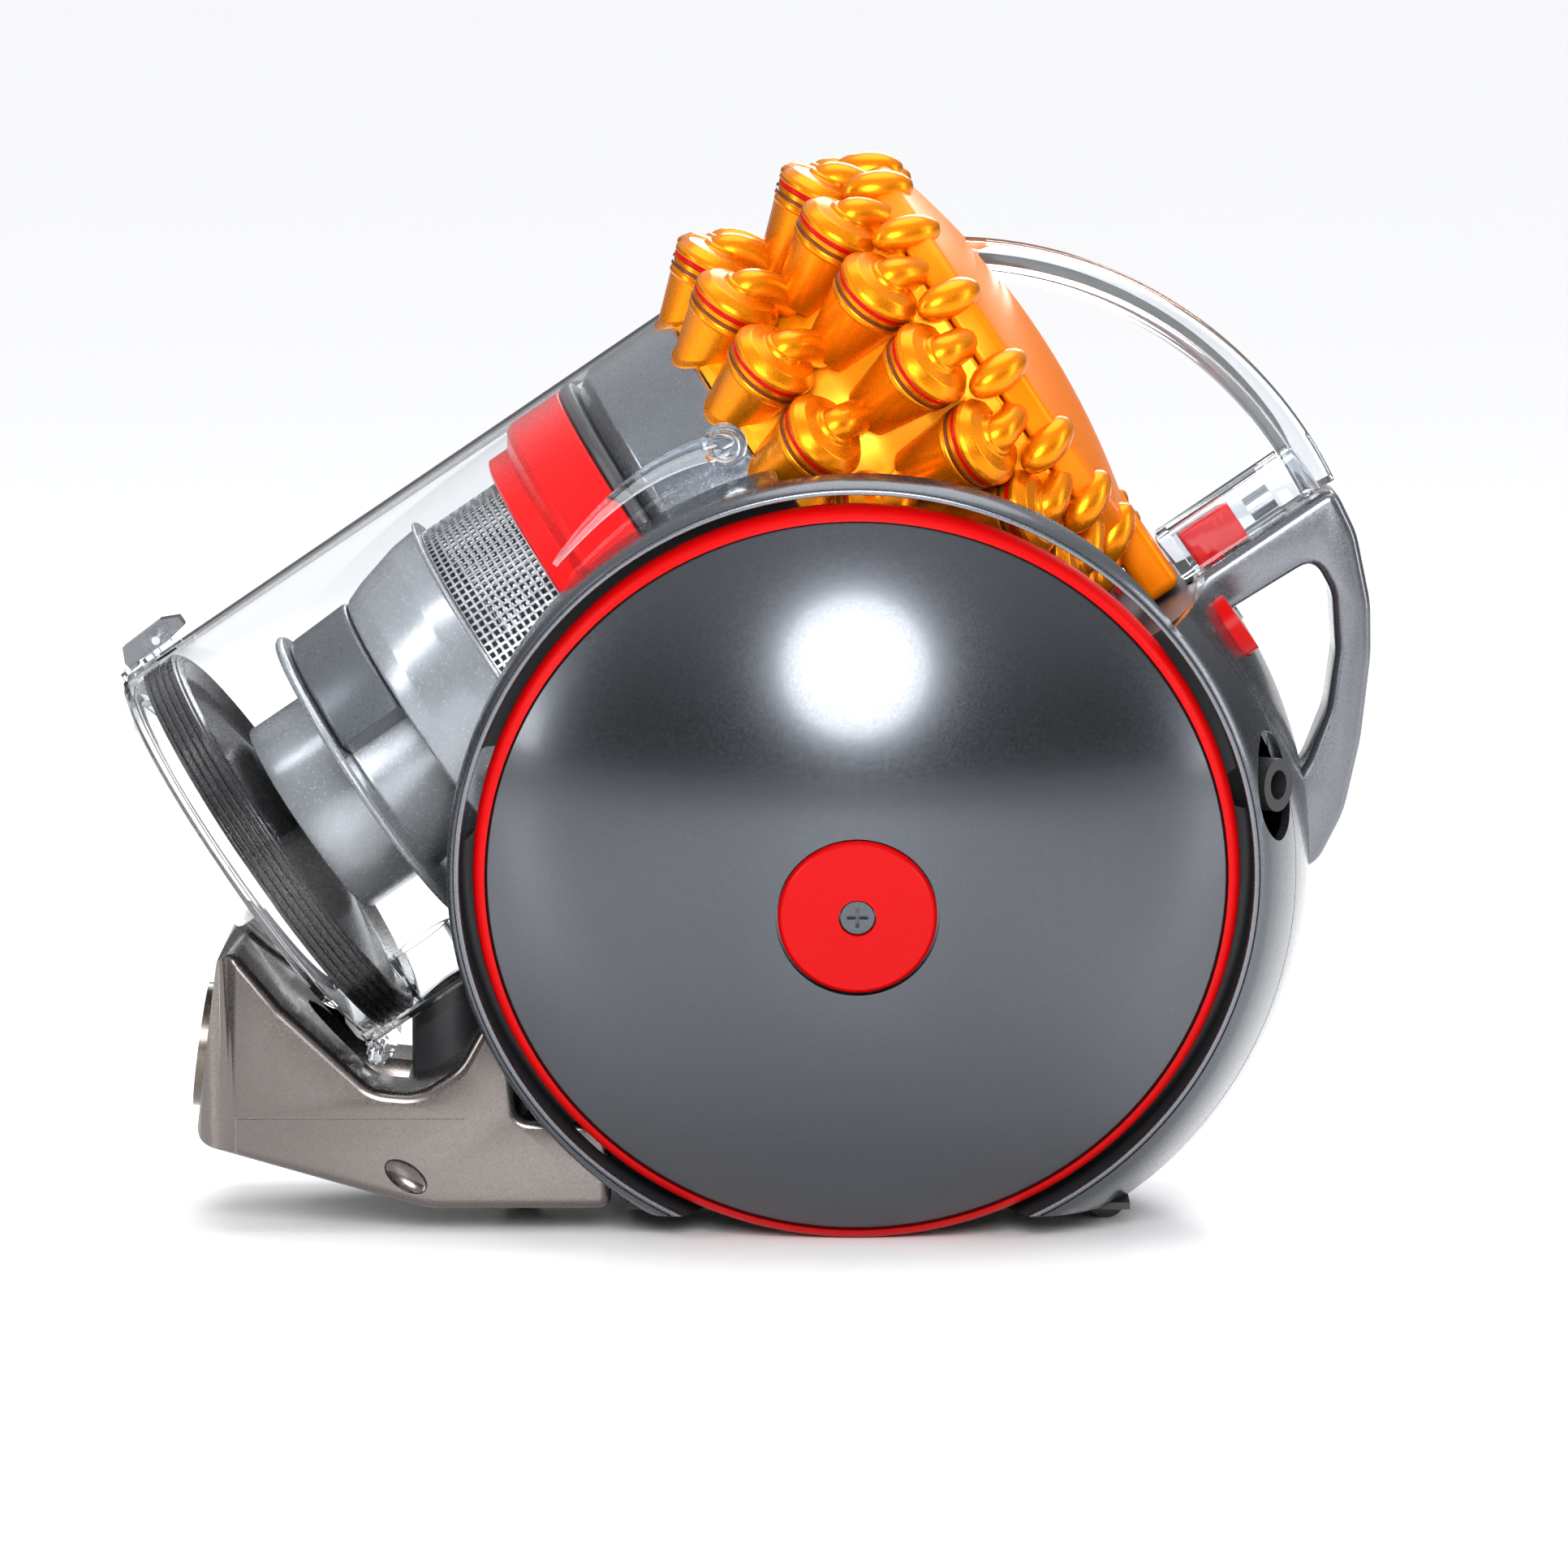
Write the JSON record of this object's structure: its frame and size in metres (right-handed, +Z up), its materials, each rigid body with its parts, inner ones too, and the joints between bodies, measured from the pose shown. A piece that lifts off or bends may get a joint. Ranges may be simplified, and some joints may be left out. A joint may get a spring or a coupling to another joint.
{
  "type": "canister vacuum cleaner",
  "caption": "Canister vacuum cleaner body on two domed wheels, with a lift-off clear dust bin, tiers of cone separators, carrying handles and a front hose socket.",
  "frame": {"origin": "centre of the overall box, on the floor it stands on", "axes": "+X from the hose socket to the rear handle, +Y to the right wheel, +Z up"},
  "size_m": [0.4294, 0.2658, 0.366],
  "materials": {
    "shell_grey": "metallic moulded, satin gloss",
    "handle_grey": "moulded, satin",
    "nose_nickel": "metallic moulded",
    "frame_black": "moulded",
    "seal_rubber": "moulded",
    "wheel_grey": "high gloss",
    "tread_red": "soft moulded",
    "part_red": "moulded",
    "bush_acetal": "moulded",
    "steel": "turned",
    "dark_steel": "blackened",
    "rotor_copper": "wound",
    "filter_white": "pleated",
    "castor_rubber": "moulded",
    "key_grey": "moulded",
    "clear": "clear polycarbonate",
    "inner_grey": "moulded",
    "mesh_steel": "perforated",
    "collar_silver": "metallic",
    "cyclone_orange": "metallic moulded"
  },
  "bodies": {
    "ball": {"ball_shell_left": "shell_grey", "ball_shell_right": "shell_grey", "belly_plate": "frame_black", "bin_cradle": "frame_black", "rear_handle": "handle_grey", "nose_upper": "nose_nickel", "nose_lower": "nose_nickel", "hose_socket": "frame_black", "airway_duct": "frame_black", "port_seal": "seal_rubber", "side_frame_left": "frame_black", "side_frame_right": "frame_black", "axle_left": "steel", "axle_right": "steel", "motor_bucket": "frame_black", "motor_stator": "steel", "motor_bearings": "steel", "motor_mounts": "seal_rubber", "exhaust_filter": "filter_white", "reel_spindle": "steel", "cord_gland": "seal_rubber", "roller_axle": "steel", "button_springs": "frame_black"},
    "wheel_left": {"wheel_dome_left": "wheel_grey", "tread_ring_left": "tread_red", "hub_cap_left": "part_red", "hub_screw_left": "dark_steel", "wheel_bush_left": "bush_acetal"},
    "wheel_right": {"wheel_dome_right": "wheel_grey", "tread_ring_right": "tread_red", "hub_cap_right": "part_red", "hub_screw_right": "dark_steel", "wheel_bush_right": "bush_acetal"},
    "rotor": {"motor_rotor": "rotor_copper"},
    "reel": {"reel_drum": "bush_acetal"},
    "castor_swivel": {"castor_fork": "frame_black", "castor_axle": "steel"},
    "castor_roll": {"castor_wheel": "castor_rubber"},
    "roller": {"rear_roller": "castor_rubber"},
    "power_key": {"power_button": "part_red"},
    "rewind_key": {"rewind_button": "key_grey"},
    "pack": {"clear_bin": "clear", "flap_pin": "steel", "dust_tube": "inner_grey", "shroud_body": "inner_grey", "shroud_mesh": "mesh_steel", "red_ring": "part_red", "collar": "collar_silver", "cyclone_core": "cyclone_orange", "lower_cyclones": "cyclone_orange", "upper_cyclones": "cyclone_orange", "cyclone_caps": "cyclone_orange", "cap_gaskets": "part_red", "top_cover": "cyclone_orange", "clear_handle": "clear", "catch_spring": "steel"},
    "flap": {"base_flap": "clear", "bin_seal": "seal_rubber"},
    "latch": {"base_latch": "key_grey"},
    "catch": {"release_catch": "part_red"}
  },
  "joints": [
    {"name": "wheel_left_spin", "type": "hinge", "parent": "ball", "child": "wheel_left", "pos_m": [0.037, -0.087, 0.12612], "axis": [0, -0.9848, -0.1736], "continuous": true},
    {"name": "wheel_right_spin", "type": "hinge", "parent": "ball", "child": "wheel_right", "pos_m": [0.037, 0.087, 0.12612], "axis": [0, 0.9848, -0.1736], "continuous": true},
    {"name": "motor_spin", "type": "hinge", "parent": "ball", "child": "rotor", "pos_m": [-0.002, 0, 0.064], "axis": [0, 1, 0], "continuous": true},
    {"name": "reel_spin", "type": "hinge", "parent": "ball", "child": "reel", "pos_m": [0.118, 0, 0.076], "axis": [0, 1, 0], "continuous": true},
    {"name": "castor_swivel", "type": "hinge", "parent": "ball", "child": "castor_swivel", "pos_m": [-0.069, 0, 0.02], "axis": [0, 0, 1], "continuous": true},
    {"name": "castor_roll", "type": "hinge", "parent": "castor_swivel", "child": "castor_roll", "pos_m": [-0.0775, 0, 0.0085], "axis": [0, 1, 0], "continuous": true},
    {"name": "roller_spin", "type": "hinge", "parent": "ball", "child": "roller", "pos_m": [0.1236, 0, 0.0067], "axis": [0, 1, 0], "continuous": true},
    {"name": "power_press", "type": "slide", "parent": "ball", "child": "power_key", "axis": [-0.8192, 0, -0.5736], "range_m": [0, 0.0025], "stiffness_N_per_m": 400},
    {"name": "rewind_press", "type": "slide", "parent": "ball", "child": "rewind_key", "axis": [-0.8192, 0, -0.5736], "range_m": [0, 0.0025], "stiffness_N_per_m": 400},
    {"name": "pack_lift", "type": "slide", "parent": "ball", "child": "pack", "axis": [-0.5621, 0, 0.8271], "range_m": [0, 0.2]},
    {"name": "base_flap_hinge", "type": "hinge", "parent": "pack", "child": "flap", "pos_m": [-0.12721, 0, 0.05519], "axis": [0, -1, 0], "range_deg": [0, 0.5]},
    {"name": "base_latch_hinge", "type": "hinge", "parent": "pack", "child": "latch", "pos_m": [-0.20258, 0, 0.199], "axis": [0, 1, 0], "range_deg": [0, 11], "stiffness_Nm_per_rad": 0.3},
    {"name": "release_catch_slide", "type": "slide", "parent": "pack", "child": "catch", "axis": [0.8271, 0, 0.5621], "range_m": [0, 0.004], "stiffness_N_per_m": 600}
  ]
}
